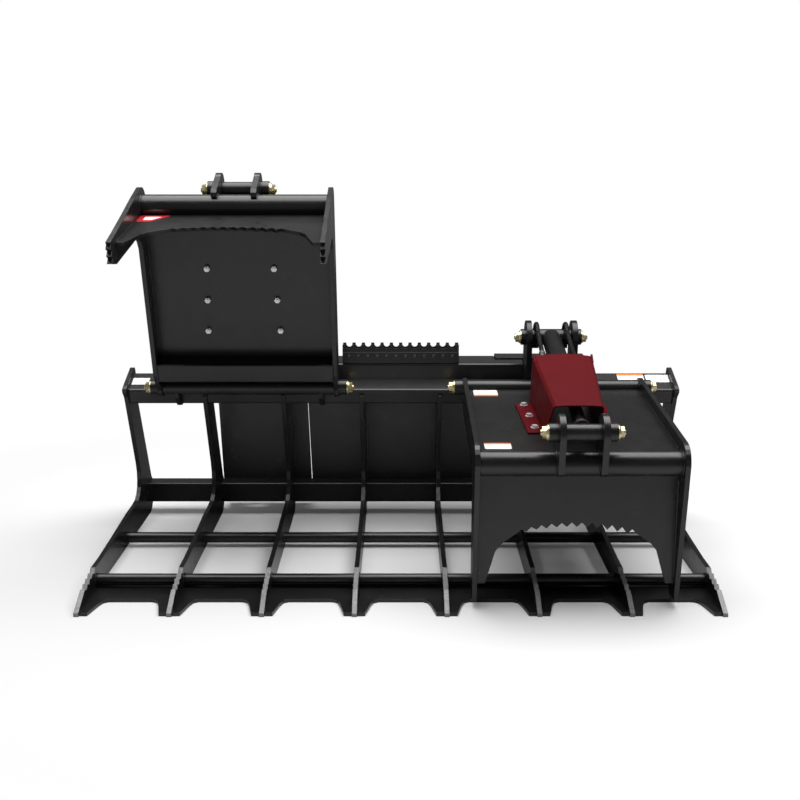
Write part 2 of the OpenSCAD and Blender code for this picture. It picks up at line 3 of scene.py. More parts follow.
import bpy
import numpy as np
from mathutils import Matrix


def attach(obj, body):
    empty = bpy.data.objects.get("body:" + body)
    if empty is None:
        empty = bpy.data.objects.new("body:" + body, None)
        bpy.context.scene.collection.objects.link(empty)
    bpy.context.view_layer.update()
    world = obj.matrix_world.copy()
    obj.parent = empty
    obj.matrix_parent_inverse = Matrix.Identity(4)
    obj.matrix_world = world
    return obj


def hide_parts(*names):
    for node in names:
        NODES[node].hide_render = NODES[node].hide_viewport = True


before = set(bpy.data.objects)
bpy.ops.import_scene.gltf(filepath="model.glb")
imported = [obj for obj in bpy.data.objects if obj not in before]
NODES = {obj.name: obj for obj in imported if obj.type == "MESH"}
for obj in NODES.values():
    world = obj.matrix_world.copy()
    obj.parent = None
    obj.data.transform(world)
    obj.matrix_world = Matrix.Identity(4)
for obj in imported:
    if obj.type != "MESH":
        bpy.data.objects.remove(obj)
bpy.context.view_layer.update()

# Places that the part's source also holds, in metres from the reference point. Pairs are Y and Z.
REF_Y = 0.155
HALF = 0.8382
TINE = 0.0127
TINES = 8
PITCH = (2 * HALF - TINE) / (TINES - 1)
TUBE = np.array([0.643 - REF_Y, 0.459])
TUBE_LEAN = math.radians(21.5)
TUBE_SIZE = (0.1016, 0.0508)
CROSSBARS = ((0.190 - REF_Y, 0.0284), (0.537 - REF_Y, 0.0284))
CROSSBAR_R = 0.0159
LIP_TOP = 0.0095
LID_X = 0.4543
LID_W = 0.538
SIDE = 0.0127
LID_PLATE = 0.00635
HINGE = np.array([0.615 - REF_Y, 0.4743])
OPEN = math.radians(80.0)
# The base pin from the hinge, then places on a lid from its hinge and with the lid shut.
BASE_PIN = np.array([0.066, 0.142])
ROD_PIN = np.array([-0.5934, 0.0065])
PLATE = np.array([-0.025, -0.002])
PLATE_LEAN = math.radians(5.66)
PIPE = np.array([-0.5655, -0.081])
PIPE_R = 0.033
FRONT_Y = PIPE[0] + 0.0165
FRONT_T = 0.0095
BEAM = 0.057
CLEVIS_X = 0.054
EAR_X = 0.0684
EAR = 0.016
LUG_X = 0.216


# Materials. A pair of tones or of roughnesses goes from the low end of a noise to its high end.
COAT = (0.007, 0.011)
EDGE = 0.0018
# A tine is worn in front of these Y, above the sole, where its normal's X is less than the flank's.
WEAR_Y = (0.186 - REF_Y, 0.180 - REF_Y)
SOLE = 0.0015
FLANK = 0.5
# How far the black paint reaches from the rod pin's axis, and how wide its edge is.
EYE_PAINT = 0.0362
PAINT_FADE = 0.0005
# Turns of the hose's cloth wrap in a metre along it, and once round it.
WRAP_ALONG = 320.0
WRAP_ROUND = 12.0


def tree_of(material):
    """A material's nodes, its links and its Principled shader."""
    tree = material.node_tree
    return tree.nodes, tree.links, tree.nodes["Principled BSDF"]


def new_material(name):
    """An empty node material, with its nodes, its links and its Principled shader."""
    material = bpy.data.materials.new(name)
    material.use_nodes = True
    return material, *tree_of(material)


def put(links, value, socket):
    """Gives a socket another node's output, or a constant."""
    if isinstance(value, bpy.types.NodeSocket):
        links.new(value, socket)
    else:
        socket.default_value = value


def worked(nodes, links, kind, operation, *values):
    """A Math or Vector Math node, with an output or a constant for each of its inputs."""
    made = nodes.new(kind)
    made.operation = operation
    for value, socket in zip(values, made.inputs):
        put(links, value, socket)
    return made


def number(nodes, links, operation, *values):
    """The result of a Math node."""
    return worked(nodes, links, "ShaderNodeMath", operation, *values).outputs["Value"]


def vector(nodes, links, operation, *values, output="Vector"):
    """The result of a Vector Math node."""
    return worked(nodes, links, "ShaderNodeVectorMath", operation, *values).outputs[output]


def mixed(nodes, links, factor, low, high):
    """A colour that goes from low to high with the factor."""
    made = nodes.new("ShaderNodeMix")
    made.data_type = "RGBA"
    links.new(factor, made.inputs["Factor"])
    put(links, low, made.inputs["A"])
    put(links, high, made.inputs["B"])
    return made.outputs["Result"]


def noise(nodes, links, scale, detail=4.0, roughness=0.55):
    """Noise in object space, so that it stays on the piece in every view."""
    where = nodes.new("ShaderNodeTexCoord")
    texture = nodes.new("ShaderNodeTexNoise")
    texture.inputs["Scale"].default_value = scale
    texture.inputs["Detail"].default_value = detail
    texture.inputs["Roughness"].default_value = roughness
    links.new(where.outputs["Object"], texture.inputs["Vector"])
    return texture.outputs["Fac"]


def ramp(nodes, links, source, stops):
    """A colour ramp over a grey value, with stops as (place, grey or colour)."""
    made = nodes.new("ShaderNodeValToRGB")
    while len(made.color_ramp.elements) < len(stops):
        made.color_ramp.elements.new(0.5)
    for element, (place, colour) in zip(made.color_ramp.elements, stops):
        element.position = place
        element.color = (*colour, 1.0) if isinstance(colour, tuple) else (colour, colour, colour, 1.0)
    links.new(source, made.inputs["Fac"])
    return made.outputs["Color"]


def bump(nodes, links, height, strength, distance, normal_input):
    """A bump of a height, put on a shader's normal."""
    made = nodes.new("ShaderNodeBump")
    made.inputs["Strength"].default_value = strength
    made.inputs["Distance"].default_value = distance
    links.new(height, made.inputs["Height"])
    links.new(made.outputs["Normal"], normal_input)
    return made


def soft_edge(nodes, links, normal_input):
    """Rounds the sharp edges of cut plate in the shading, as thick coat does."""
    made = nodes.new("ShaderNodeBevel")
    made.samples = 4
    made.inputs["Radius"].default_value = EDGE
    links.new(made.outputs["Normal"], normal_input)


def powder_coat(name, dark, light, rough=(0.27, 0.35)):
    """Powder coat: a fine orange peel, with slow drifts in colour and gloss."""
    material, nodes, links, shader = new_material(name)
    drift = noise(nodes, links, 3.0, 3.0)
    links.new(ramp(nodes, links, drift, [(0.3, dark), (0.7, light)]), shader.inputs["Base Color"])
    haze = noise(nodes, links, 26.0, 5.0)
    links.new(ramp(nodes, links, haze, [(0.3, rough[0]), (0.75, rough[1])]), shader.inputs["Roughness"])
    peel = noise(nodes, links, 900.0, 2.0, 0.4)
    peeled = bump(nodes, links, peel, 0.08, 0.0004, shader.inputs["Normal"])
    soft_edge(nodes, links, peeled.inputs["Normal"])
    return material


def plated(name, dark, light, rough, metallic=1.0):
    """Plated steel: cloudy colour under fine scratches. A dull plate is only partly metallic."""
    material, nodes, links, shader = new_material(name)
    shader.inputs["Metallic"].default_value = metallic
    cloud = noise(nodes, links, 60.0)
    links.new(ramp(nodes, links, cloud, [(0.3, dark), (0.7, light)]), shader.inputs["Base Color"])
    fine = noise(nodes, links, 420.0, 3.0)
    links.new(ramp(nodes, links, fine, [(0.3, rough[0]), (0.7, rough[1])]), shader.inputs["Roughness"])
    bump(nodes, links, fine, 0.06, 0.0003, shader.inputs["Normal"])
    return material


def worn_tine(name):
    """Black powder coat, worn to bare steel from the teeth to the tip on the faces that look neither left
    nor right, above the sole."""
    material = powder_coat(name, *COAT)
    nodes, links, shader = tree_of(material)
    where = nodes.new("ShaderNodeTexCoord")
    place = nodes.new("ShaderNodeSeparateXYZ")
    links.new(where.outputs["Object"], place.inputs["Vector"])
    facing = nodes.new("ShaderNodeSeparateXYZ")
    links.new(where.outputs["Normal"], facing.inputs["Vector"])
    near = nodes.new("ShaderNodeMapRange")
    near.inputs["From Min"].default_value = WEAR_Y[0]
    near.inputs["From Max"].default_value = WEAR_Y[1]
    links.new(place.outputs["Y"], near.inputs["Value"])
    sideways = number(nodes, links, "ABSOLUTE", facing.outputs["X"])
    edge = number(nodes, links, "LESS_THAN", sideways, FLANK)
    high = number(nodes, links, "GREATER_THAN", place.outputs["Z"], SOLE)
    both = number(nodes, links, "MULTIPLY", near.outputs["Result"], edge)
    worn = number(nodes, links, "MULTIPLY", both, high)
    steel = ramp(nodes, links, noise(nodes, links, 130.0, 5.0), [(0.3, 0.17), (0.7, 0.30)])
    coat = shader.inputs["Base Color"].links[0].from_socket
    links.new(mixed(nodes, links, worn, coat, steel), shader.inputs["Base Color"])
    return material


def painted_eye(name, centre):
    """Hard chrome that is painted black near a pin's axis along X, where the rod is welded to its eye."""
    material = plated(name, (0.70, 0.70, 0.72), (0.84, 0.84, 0.86), (0.08, 0.14))
    nodes, links, shader = tree_of(material)
    where = nodes.new("ShaderNodeTexCoord")
    from_pin = vector(nodes, links, "SUBTRACT", where.outputs["Object"], (0.0, *centre))
    across = vector(nodes, links, "MULTIPLY", from_pin, (0.0, 1.0, 1.0))
    away = vector(nodes, links, "LENGTH", across, output="Value")
    bare = nodes.new("ShaderNodeMapRange")
    bare.inputs["From Min"].default_value = EYE_PAINT
    bare.inputs["From Max"].default_value = EYE_PAINT + PAINT_FADE
    links.new(away, bare.inputs["Value"])
    links.new(bare.outputs["Result"], shader.inputs["Metallic"])
    for name_of_socket, paint in (("Base Color", 0.010), ("Roughness", 0.32)):
        socket = shader.inputs[name_of_socket]
        chrome = socket.links[0].from_socket
        links.new(mixed(nodes, links, bare.outputs["Result"], (paint, paint, paint, 1.0), chrome), socket)
    return material


def hose_rubber(name):
    """Matt rubber hose cover with the faint crossed print of its cloth wrap, along the hose's own UVs. The
    print's height is sin(a u - b v) sin(a u + b v)."""
    material, nodes, links, shader = new_material(name)
    shader.inputs["Roughness"].default_value = 0.42
    shader.inputs["Specular IOR Level"].default_value = 0.15
    mottle = noise(nodes, links, 90.0)
    links.new(ramp(nodes, links, mottle, [(0.3, 0.004), (0.7, 0.009)]), shader.inputs["Base Color"])
    along = nodes.new("ShaderNodeUVMap")
    along.uv_map = "along"
    waves = []
    for turn in (-1.0, 1.0):
        slant = (2.0 * math.pi * WRAP_ALONG, turn * 2.0 * math.pi * WRAP_ROUND, 0.0)
        place = vector(nodes, links, "DOT_PRODUCT", along.outputs["UV"], slant, output="Value")
        waves.append(number(nodes, links, "SINE", place))
    wrap = number(nodes, links, "MULTIPLY", *waves)
    bump(nodes, links, wrap, 0.12, 0.0003, shader.inputs["Normal"])
    return material


def film(name, colour):
    """Printed film of one colour, with a little mottle."""
    material, nodes, links, shader = new_material(name)
    shader.inputs["Roughness"].default_value = 0.35
    mottle = noise(nodes, links, 45.0)
    low = tuple(0.93 * c for c in colour)
    links.new(ramp(nodes, links, mottle, [(0.3, low), (0.7, colour)]), shader.inputs["Base Color"])
    return material


BLACK = powder_coat("black powder coat", *COAT)
TINE_BLACK = worn_tine("black powder coat worn at the tips")
RED = powder_coat("dark red powder coat", (0.088, 0.0055, 0.0075), (0.105, 0.0075, 0.010), (0.42, 0.54))
RED.node_tree.nodes["Principled BSDF"].inputs["Specular IOR Level"].default_value = 0.04
ZINC = plated("yellow zinc", (0.60, 0.50, 0.24), (0.86, 0.76, 0.47), (0.20, 0.36), 0.8)
BRIGHT = plated("bright zinc", (0.66, 0.67, 0.69), (0.88, 0.88, 0.89), (0.22, 0.36), 0.55)
FITTING = plated("dull grey fittings", (0.07, 0.07, 0.07), (0.12, 0.12, 0.12), (0.38, 0.52), 0.6)
RUBBER = hose_rubber("hose rubber")
WHITE = film("white film", (0.82, 0.82, 0.82))
ORANGE = film("orange film", (0.80, 0.20, 0.03))
RED_FILM = film("red film", (0.46, 0.012, 0.02))


def turned(places, angle):
    """Y and Z pairs turned about X, as a lid that opens by that angle."""
    y, z = np.asarray(places, float).T
    cos, sin = math.cos(angle), math.sin(angle)
    return np.stack([y * cos + z * sin, z * cos - y * sin], axis=-1)


# For each side, the way that its lid lies from the middle, and how far the lid stands open.
SIDES = {"left": (-1.0, OPEN), "right": (1.0, 0.0)}
RODS = {side: painted_eye(f"hard chrome, {side} rod", HINGE + turned(ROD_PIN, angle))
        for side, (_, angle) in SIDES.items()}
FINISH = {"shroud": RED, "shroud_bolts": BRIGHT, "hinge_pins": ZINC, "rod_pin": ZINC, "piston": BRIGHT}


def finish_of(node):
    """The material of a node: black powder coat unless the piece has a finish of its own."""
    side, _, tail = node.partition("_")
    if node == "base_pins":
        return ZINC
    if node.startswith("tine_"):
        return TINE_BLACK
    if tail == "rod" and side in RODS:
        return RODS[side]
    return FINISH.get(tail, BLACK) if side in SIDES else BLACK


for node_name, node_object in NODES.items():
    node_object.data.materials.clear()
    node_object.data.materials.append(finish_of(node_name))


# Meshes from numpy arrays.
def put_mesh(name, points, faces, material, body, slot, smooth=False):
    """A mesh object at the origin from an array of points and an array of faces, riding on a body."""
    mesh = bpy.data.meshes.new(name)
    mesh.from_pydata(np.asarray(points, float).tolist(), [], np.asarray(faces).tolist())
    mesh.polygons.foreach_set("use_smooth", np.full(len(mesh.polygons), smooth))
    mesh.update()
    made = bpy.data.objects.new(name, mesh)
    bpy.context.scene.collection.objects.link(made)
    made.data.materials.append(material)
    if body:
        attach(made, body)
    return made


def grid_faces(rows, columns, wrap=False):
    """The quads of a grid of points whose columns close round, and whose rows do too if wrapped."""
    row, column = np.meshgrid(np.arange(rows if wrap else rows - 1), np.arange(columns), indexing="ij")
    a = row * columns + column
    b = row * columns + (column + 1) % columns
    rise = ((row + 1) % rows - row) * columns
    return np.stack([a, b, b + rise, a + rise], axis=-1).reshape(-1, 4)


def capped(points, sides):
    """An open tube of rings with its ends closed: a middle point at each end, and quads that fan from it
    over two of the ring's edges at a time."""
    rings = points.reshape(-1, sides, 3)
    middles = rings[[0, -1]].mean(axis=1)
    k = np.arange(0, sides, 2)
    first_middle = np.full(len(k), len(points))
    start = np.stack([first_middle, (k + 2) % sides, k + 1, k], axis=-1)
    last = (len(rings) - 1) * sides
    end = np.stack([first_middle + 1, last + k, last + k + 1, last + (k + 2) % sides], axis=-1)
    return np.concatenate([points, middles]), np.concatenate([grid_faces(len(rings), sides), start, end])


def round_angles(sides):
    """The angles of a ring's points, once round."""
    return 2 * math.pi * np.arange(sides) / sides


def lengths_along(path):
    """How far each point of a path lies along it, on straight spans."""
    return np.concatenate([[0.0], np.cumsum(np.linalg.norm(np.diff(path, axis=0), axis=1))])


def points_at(path, lengths):
    """The points of a path that lie these lengths along it, on straight spans."""
    return np.stack([np.interp(lengths, lengths_along(path), path[:, k]) for k in range(3)], axis=-1)


def swept(path, radii, sides):
    """A closed tube along a path in a plane of constant X: a point is path + r (cos a X + sin a N), with N
    the path's normal in that plane. Radii are one per path point, or one per path point and side."""
    along = np.gradient(path, axis=0)
    along /= np.linalg.norm(along, axis=1, keepdims=True)
    across = np.array([1.0, 0.0, 0.0])
    normal = np.cross(along, across)
    angle = round_angles(sides)
    spoke = np.cos(angle)[None, :, None] * across + np.sin(angle)[None, :, None] * normal[:, None, :]
    radii = np.broadcast_to(np.asarray(radii, float).reshape(len(path), -1), (len(path), sides))
    return capped((path[:, None, :] + radii[:, :, None] * spoke).reshape(-1, 3), sides)


def smooth_path(points, step):
    """A curve through all the points: a Hermite span between neighbours, whose slope at a point is that of
    the parabola through it and the two beside it."""
    chord = np.linalg.norm(np.diff(points, axis=0), axis=1)
    place = lengths_along(points)
    slope = np.gradient(points, place, axis=0)
    at = np.linspace(0.0, place[-1], int(math.ceil(place[-1] / step)) + 1)
    i = np.clip(np.searchsorted(place, at, side="right") - 1, 0, len(chord) - 1)
    span = chord[i][:, None]
    t = ((at - place[i]) / chord[i])[:, None]
    return ((2 * t**3 - 3 * t**2 + 1) * points[i] + (t**3 - 2 * t**2 + t) * span * slope[i]
            + (3 * t**2 - 2 * t**3) * points[i + 1] + (t**3 - t**2) * span * slope[i + 1])


def joined(parts):
    """Several (points, faces) as one pair."""
    points, faces, first = [], [], 0
    for part_points, part_faces in parts:
        points.append(part_points)
        faces.append(part_faces + first)
        first += len(part_points)
    return np.concatenate(points), np.concatenate(faces)


# Hoses, in the cylinder's own frame: Y from the base pin towards the union, Z away from the barrel.
HOSE = 0.014
HOSE_R = HOSE / 2
HOSE_X = 0.044
HOSE_STEP = 0.003
HOSE_SIDES = 24
# For each port, the side of the barrel that it is on and its place along it.
PORTS = ((-1.0, -0.190), (1.0, -0.3484))
# A port that is further along than this has a long run of hose beside the barrel.
LONG_RUN = -0.25
UNION_Z = -0.0157
LOOP_R = 0.037
LOOP_Z = 0.002
# A nut and a crimped sleeve at each end of a hose, by how far along it they reach from that end.
NUT_R = 0.0115
NUT_END = 0.008
NUT_SIDES = 36
SLEEVE_R = 0.0092
SLEEVE_START = 0.007
PORT_SLEEVE_END = 0.030
UNION_SLEEVE_END = 0.027
SLEEVE_RINGS = 49
SLEEVE_SIDES = 28
CRIMPS = 4


def hose_points(port):
    """The hose's route: out of the port, beside the barrel, and over the base tube to the union."""
    rise = [(port + 0.0103, 0.0), (port + 0.022, 0.002), (port + 0.036, 0.010)]
    run = [(port + 0.080, 0.016)]
    if port < LONG_RUN:
        run = [(port + 0.090, 0.014), (port + 0.150, 0.014), (port + 0.210, 0.016)]
    arc = np.radians(np.linspace(135.0, 0.0, 7))
    loop = [(LOOP_R * math.cos(a), LOOP_Z + LOOP_R * math.sin(a)) for a in arc]
    return np.array(rise + run + [(-0.046, 0.026)] + loop + [(LOOP_R, -0.007), (LOOP_R, UNION_Z)])


def cylinder_lean(angle):
    """How far the cylinder turns about its base pin, from level, with the lid open by that angle."""
    y, z = turned(ROD_PIN, angle) - BASE_PIN
    return math.atan2(-z, -y)


def on_cylinder(side, places, x):
    """Y and Z pairs of the cylinder's frame, with X beside its middle, as points of the part's frame."""
    sign, angle = SIDES[side]
    lean = cylinder_lean(angle)
    cos, sin = math.cos(lean), math.sin(lean)
    y, z = places.T
    base = HINGE + BASE_PIN
    along_x = np.full(len(y), sign * LID_X + x)
    return np.stack([along_x, base[0] + y * cos - z * sin, base[1] + y * sin + z * cos], axis=-1)


def crimp(path, start, end):
    """A crimped sleeve along part of the hose. Its radius is R (1 - 0.09 g), with g a row of four bell
    curves, and it tapers to the hose's at both ends."""
    share = np.linspace(0.0, 1.0, SLEEVE_RINGS)
    dent = np.exp(-(((share * CRIMPS) % 1.0 - 0.5) / 0.16) ** 2)
    rings = SLEEVE_R * (1.0 - 0.09 * dent)
    taper = np.clip(np.minimum(share, 1.0 - share) / 0.05, 0.0, 1.0)
    line = points_at(path, np.linspace(start, end, SLEEVE_RINGS))
    return swept(line, HOSE_R + (rings - HOSE_R) * taper, SLEEVE_SIDES)


def hex_nut(path, start, end):
    """A nut on the hose: six flats, with r cos(30) / cos(a mod 60 - 30), eased at both ends."""
    share = np.array([0.0, 0.004, 0.12, 0.88, 0.996, 1.0])
    line = points_at(path, start + share * (end - start))
    angle = round_angles(NUT_SIDES)
    flat = NUT_R * math.cos(math.pi / 6) / np.cos(angle % (math.pi / 3) - math.pi / 6)
    eased = np.minimum(flat, 0.93 * NUT_R)
    bore = np.full(NUT_SIDES, HOSE_R)
    return swept(line, np.stack([bore, eased, flat, flat, eased, bore]), NUT_SIDES)


def hose(side, number_on_side, sign, port):
    """One hose with its two end fittings, in place of the CAD's plain tube."""
    path = smooth_path(on_cylinder(side, hose_points(port), sign * HOSE_X), HOSE_STEP)
    length = float(np.linalg.norm(np.diff(path, axis=0), axis=1).sum())
    points, faces = swept(path, np.full(len(path), HOSE_R), HOSE_SIDES)
    name = f"{side}_hose_{number_on_side}"
    body = f"{side}_barrel"
    made = put_mesh(name, points, faces, RUBBER, body, "hose_rubber", True)
    place, turn = np.divmod(np.arange(len(points)), HOSE_SIDES)
    corner = faces.ravel()
    second_edge = np.isin(np.arange(len(corner)) % 4, (1, 2))
    lap = np.where((turn[corner] == 0) & second_edge, HOSE_SIDES, turn[corner])
    flat = np.stack([place[corner] * HOSE_STEP, lap / HOSE_SIDES], axis=-1)
    made.data.uv_layers.new(name="along").data.foreach_set("uv", flat.astype(np.float32).ravel())
    ends = joined([hex_nut(path, 0.0, NUT_END), crimp(path, SLEEVE_START, PORT_SLEEVE_END),
                   hex_nut(path, length - NUT_END, length),
                   crimp(path, length - UNION_SLEEVE_END, length - SLEEVE_START)])
    fittings = put_mesh(f"{name}_ends", *ends, FITTING, body, "bolt_steel", True)
    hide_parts(f"{side}_hoses")


for side_name in SIDES:
    for hose_number, (port_side, port_place) in enumerate(PORTS, 1):
        hose(side_name, hose_number, port_side, port_place)


# Places on the top tube and on the lids.
TUBE_BACK = np.array([math.cos(TUBE_LEAN), math.sin(TUBE_LEAN)])
TUBE_DOWN = np.array([math.sin(TUBE_LEAN), -math.cos(TUBE_LEAN)])


def on_tube(x, back, below=0.0):
    """A point of the top tube, by its X and its distances behind and below the upper front corner."""
    return (x, *(TUBE + back * TUBE_BACK + below * TUBE_DOWN))


def on_lid(side, x, places):
    """Points of the part's frame from X beside the lid's middle and Y and Z pairs from its hinge, lid
    shut."""
    sign, angle = SIDES[side]
    y, z = (HINGE + turned(np.atleast_2d(places), angle)).T
    return np.stack([np.broadcast_to(sign * LID_X + np.asarray(x, float), y.shape), y, z], axis=-1)


def on_plate(back, up=0.0):
    """Y and Z from the hinge of a place on the lid's top plate, by its distance in front of the rear edge
    and above the face."""
    back, up = np.broadcast_arrays(np.asarray(back, float), up)
    return np.stack([PLATE[0] - back * math.cos(PLATE_LEAN) - up * math.sin(PLATE_LEAN),
                     PLATE[1] - back * math.sin(PLATE_LEAN) + up * math.cos(PLATE_LEAN)], axis=-1)


def on_right_plate(x, front):
    """A point of the shut lid's top plate, by its X and its distance in front of the plate's rear edge."""
    return tuple(on_lid("right", x, on_plate(front))[0])


def on_open_front(x, down):
    """A point of the open lid's outer front face, by X and its distance below the hinge, lid shut."""
    return tuple(on_lid("left", x, (FRONT_Y, -down))[0])


def rectangle(place, x0, x1, near, far):
    """The four corners of a patch between two X and two distances on a face."""
    return [place(x0, near), place(x1, near), place(x1, far), place(x0, far)]


# Films on the plates, blank and plain. A band or a stripe lies a little higher than the film under it.
FILM = 0.0002
FILM_STEP = 0.0003
FILM_SIDES = 96
FILM_POWER = 16
# The share of the outline and of the lift at each ring, from the middle out and down to the plate.
FILM_RINGS = ((0.5, 1.0), (0.985, 1.0), (1.0, 0.7), (1.0, 0.0))
TUBE_FILMS = (
    ("left_tube_film", (-0.8212, -0.7697, 0.0317, 0.0690), WHITE, FILM),
    ("right_tube_film", (0.6665, 0.7475, 0.0576, 0.0925), WHITE, FILM),
    ("right_tube_film_band", (0.6665, 0.7475, 0.0826, 0.0925), ORANGE, FILM_STEP),
    ("right_end_film", (0.7525, 0.8245, 0.0452, 0.0873), WHITE, FILM),
)
SHUT_LID_FILMS = (
    ("right_lid_film_rear", (-0.2395, -0.1690, 0.0633, 0.0066), WHITE, FILM),
    ("right_lid_film_rear_band", (-0.2395, -0.1690, 0.0633, 0.0510), ORANGE, FILM_STEP),
    ("right_lid_film_front", (-0.2390, -0.1699, 0.5092, 0.4645), WHITE, FILM),
    ("right_lid_film_front_band", (-0.2390, -0.1699, 0.4745, 0.4645), ORANGE, FILM_STEP),
)
OPEN_LID_FILMS = (
    ("left_lid_film", ((-0.2525, 0.188), (-0.213, 0.188), (-0.170, 0.1185), (-0.2525, 0.1185)),
     RED_FILM, FILM),
    ("left_lid_film_stripe", ((-0.238, 0.168), (-0.214, 0.168), (-0.192, 0.134), (-0.238, 0.134)),
     WHITE, FILM_STEP),
)


def patch(name, corners, material, body, lift):
    """A thin film over four corners in a plane: (u, v) on a superellipse of power 16, mapped bilinearly."""
    a, b, c, d = np.asarray(corners, float)
    normal = np.cross(b - a, d - a)
    normal /= np.linalg.norm(normal)
    angle = 2 * math.pi * (np.arange(FILM_SIDES) + 0.5) / FILM_SIDES
    cos, sin = np.cos(angle), np.sin(angle)
    u = np.sign(cos) * np.abs(cos) ** (2 / FILM_POWER)
    v = np.sign(sin) * np.abs(sin) ** (2 / FILM_POWER)
    points = []
    for reach, height in FILM_RINGS:
        s, t = (1 + reach * u) / 2, (1 + reach * v) / 2
        flat = (((1 - s) * (1 - t))[:, None] * a + (s * (1 - t))[:, None] * b + (s * t)[:, None] * c
                + ((1 - s) * t)[:, None] * d)
        points.append(flat + height * lift * normal)
    points, faces = capped(np.concatenate(points), FILM_SIDES)
    put_mesh(name, points, faces[:, ::-1], material, body, None)


for film_name, edges, film_material, film_lift in TUBE_FILMS:
    patch(film_name, rectangle(on_tube, *edges), film_material, "frame", film_lift)
for film_name, edges, film_material, film_lift in SHUT_LID_FILMS:
    patch(film_name, rectangle(on_right_plate, *edges), film_material, "right_lid", film_lift)
for film_name, film_corners, film_material, film_lift in OPEN_LID_FILMS:
    patch(film_name, [on_open_front(*c) for c in film_corners], film_material, "left_lid", film_lift)


# Weld beads, painted over with the plates.
BEAD = 0.0026
BEAD_STEP = 0.0028
BEAD_SIDES = 8
RIPPLE = 0.12
RIPPLE_TURN = 2.1
RUN_OUT = 0.3
RING_POINTS = 60
# The ends of a bead on the cutting lip, and the middle of an inner tine's upper end from the tube's corner.
LIP_BEAD = (0.012 - REF_Y, 0.228 - REF_Y)
TINE_END = np.array([0.0004, -0.0195])
# On the top tube: where its rounded corners start and end, and where beads lie on it.
ROUND_TOP = 0.006
ROUND_LOW = 0.045
LUG_BEAD = ((0.014, 0.0), (0.004, 0.0), (0.0, 0.004), (0.0, 0.046))
EAR_BEAD = (0.012, 0.090)
BASE_BEADS = (0.009, 0.092)
# On a lid: the ends of the beads on the top plate and the front plate, and the beam's and the ears' seats.
PLATE_BEAD = np.array([0.085, 0.500])
FRONT_BEAD = (-0.125, -0.395)
BEAM_BACK = 0.022
BEAM_GAP = 0.004
CLEVIS_ARC = (72.0, 196.0)


def bead(points, closed=False):
    """A fillet bead along a path: a tube whose radius is r (1 + 0.12 sin(w s)), with s the way along it."""
    points = np.asarray(points, float)
    if closed:
        points = np.concatenate([points, points[:1]])
    length = lengths_along(points)[-1]
    at = np.linspace(0.0, length, max(4, int(length / BEAD_STEP)) + 1)
    at = at[:-1] if closed else at
    line = points_at(points, at)
    along = np.roll(line, -1, axis=0) - np.roll(line, 1, axis=0) if closed else np.gradient(line, axis=0)
    along /= np.linalg.norm(along, axis=1, keepdims=True)
    side = np.where(np.abs(along[:, :1]) > 0.7, [[0.0, 0.0, 1.0]], [[1.0, 0.0, 0.0]])
    side = np.cross(along, side)
    side /= np.linalg.norm(side, axis=1, keepdims=True)
    up = np.cross(along, side)
    angle = round_angles(BEAD_SIDES)
    radius = BEAD * (1.0 + RIPPLE * np.sin(at / BEAD_STEP * RIPPLE_TURN))
    radius[[0, -1]] *= 1.0 if closed else RUN_OUT
    spoke = np.cos(angle)[None, :, None] * side[:, None, :] + np.sin(angle)[None, :, None] * up[:, None, :]
    tube = (line[:, None, :] + radius[:, None, None] * spoke).reshape(-1, 3)
    return (tube, grid_faces(len(line), BEAD_SIDES, True)) if closed else capped(tube, BEAD_SIDES)


def ring(x, centre, radius, start=0.0, end=354.0):
    """A circle without its last point, or an arc, about X, as points."""
    angle = np.radians(np.linspace(start, end, RING_POINTS))
    y = centre[0] + radius * np.cos(angle)
    z = centre[1] + radius * np.sin(angle)
    return np.stack([np.full(RING_POINTS, x), y, z], axis=-1)


def tine_beads():
    """Beads round the crossbars and along the cutting lip, and over the inner tines' upper ends."""
    beads = []
    for tine in range(TINES):
        left = -HALF + tine * PITCH
        for x, inner in ((left, tine > 0), (left + TINE, tine < TINES - 1)):
            if inner:
                beads += [bead(ring(x, place, CROSSBAR_R), True) for place in CROSSBARS]
                beads.append(bead([(x, y, LIP_TOP) for y in LIP_BEAD]))
        if 0 < tine < TINES - 1:
            beads.append(bead([(x, *(TUBE + TINE_END)) for x in (left, left + TINE)]))
    return beads


def tube_beads(sign):
    """Beads on one half of the top tube: round its end, at both faces of the hinge lugs, and at the ears
    and the base of the cylinder's bracket."""
    width, height = TUBE_SIZE
    outline = ((ROUND_TOP, 0.0), (width - ROUND_TOP, 0.0), (width, ROUND_TOP), (width, ROUND_LOW),
               (width - ROUND_TOP, height), (ROUND_TOP, height), (0.0, ROUND_LOW), (0.0, ROUND_TOP))
    beads = [bead([on_tube(sign * (HALF - TINE), *corner) for corner in outline], True)]
    for k in (-1.0, 1.0):
        for edge in (-0.5, 0.5):
            x = sign * LID_X + k * LUG_X + edge * TINE
            beads.append(bead([on_tube(x, *place) for place in LUG_BEAD]))
        x = sign * LID_X + k * (EAR_X + EAR / 2)
        beads.append(bead([on_tube(x, back) for back in EAR_BEAD]))
    for back in BASE_BEADS:
        beads.append(bead([on_tube(sign * LID_X + k * EAR_X, back) for k in (-1.0, 1.0)]))
    return beads


